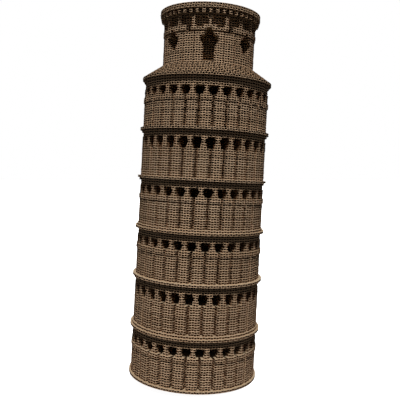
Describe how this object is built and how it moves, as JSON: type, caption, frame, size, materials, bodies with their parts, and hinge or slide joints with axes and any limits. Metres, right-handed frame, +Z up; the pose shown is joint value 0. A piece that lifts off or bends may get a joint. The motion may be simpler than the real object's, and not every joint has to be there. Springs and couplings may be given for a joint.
{
  "type": "miniature landmark model",
  "caption": "Desk model of a leaning round bell tower, stacked from glued round sheets of corrugated kraft cardboard with ribbed arcades and a narrower belfry.",
  "frame": {"origin": "middle of the wedge foot's flat underside, on the surface the model stands on", "axes": "+Z up, the tower leans 3 degrees towards +X, its front window faces -Y"},
  "size_m": [0.1024, 0.0924, 0.2601],
  "materials": {
    "kraft_board": "matt kraft corrugated board, cut edges with open flutes",
    "dowel_wood": "plain birch",
    "foot_wood": "sanded plywood"
  },
  "bodies": {
    "root": {"base_sheet": "kraft_board", "belfry_ledge_sheets": "kraft_board", "belfry_lower_window_sheets": "kraft_board", "belfry_neck_sheet": "kraft_board", "belfry_pier_sheets": "kraft_board", "belfry_sill_sheet": "kraft_board", "belfry_upper_window_sheets": "kraft_board", "belfry_window_point_sheet": "kraft_board", "dentil_sheets": "kraft_board", "registration_dowels": "dowel_wood", "roof_sheets": "kraft_board", "setback_sheet_1": "kraft_board", "setback_sheet_2": "kraft_board", "setback_sheet_3": "kraft_board", "setback_sheet_4": "kraft_board", "setback_sheet_5": "kraft_board", "storey_1_arcade": "kraft_board", "storey_1_capitals": "kraft_board", "storey_1_cornice_inner": "kraft_board", "storey_1_cornice_outer": "kraft_board", "storey_1_frieze": "kraft_board", "storey_1_rib_heads": "kraft_board", "storey_1_ribs": "kraft_board", "storey_2_arcade": "kraft_board", "storey_2_cornice_inner": "kraft_board", "storey_2_cornice_outer": "kraft_board", "storey_2_frieze": "kraft_board", "storey_2_ribs": "kraft_board", "storey_3_arcade": "kraft_board", "storey_3_capitals": "kraft_board", "storey_3_cornice_inner": "kraft_board", "storey_3_cornice_outer": "kraft_board", "storey_3_frieze": "kraft_board", "storey_3_rib_heads": "kraft_board", "storey_3_ribs": "kraft_board", "storey_4_arcade": "kraft_board", "storey_4_capitals": "kraft_board", "storey_4_cornice_inner": "kraft_board", "storey_4_cornice_outer": "kraft_board", "storey_4_frieze": "kraft_board", "storey_4_rib_heads": "kraft_board", "storey_4_ribs": "kraft_board", "storey_5_arcade": "kraft_board", "storey_5_cornice_inner": "kraft_board", "storey_5_cornice_outer": "kraft_board", "storey_5_frieze": "kraft_board", "storey_5_ribs": "kraft_board", "storey_6_arcade": "kraft_board", "storey_6_capitals": "kraft_board", "storey_6_cornice_inner": "kraft_board", "storey_6_cornice_outer": "kraft_board", "storey_6_frieze": "kraft_board", "storey_6_rib_heads": "kraft_board", "storey_6_ribs": "kraft_board", "tilt_foot": "foot_wood"}
  },
  "joints": []
}
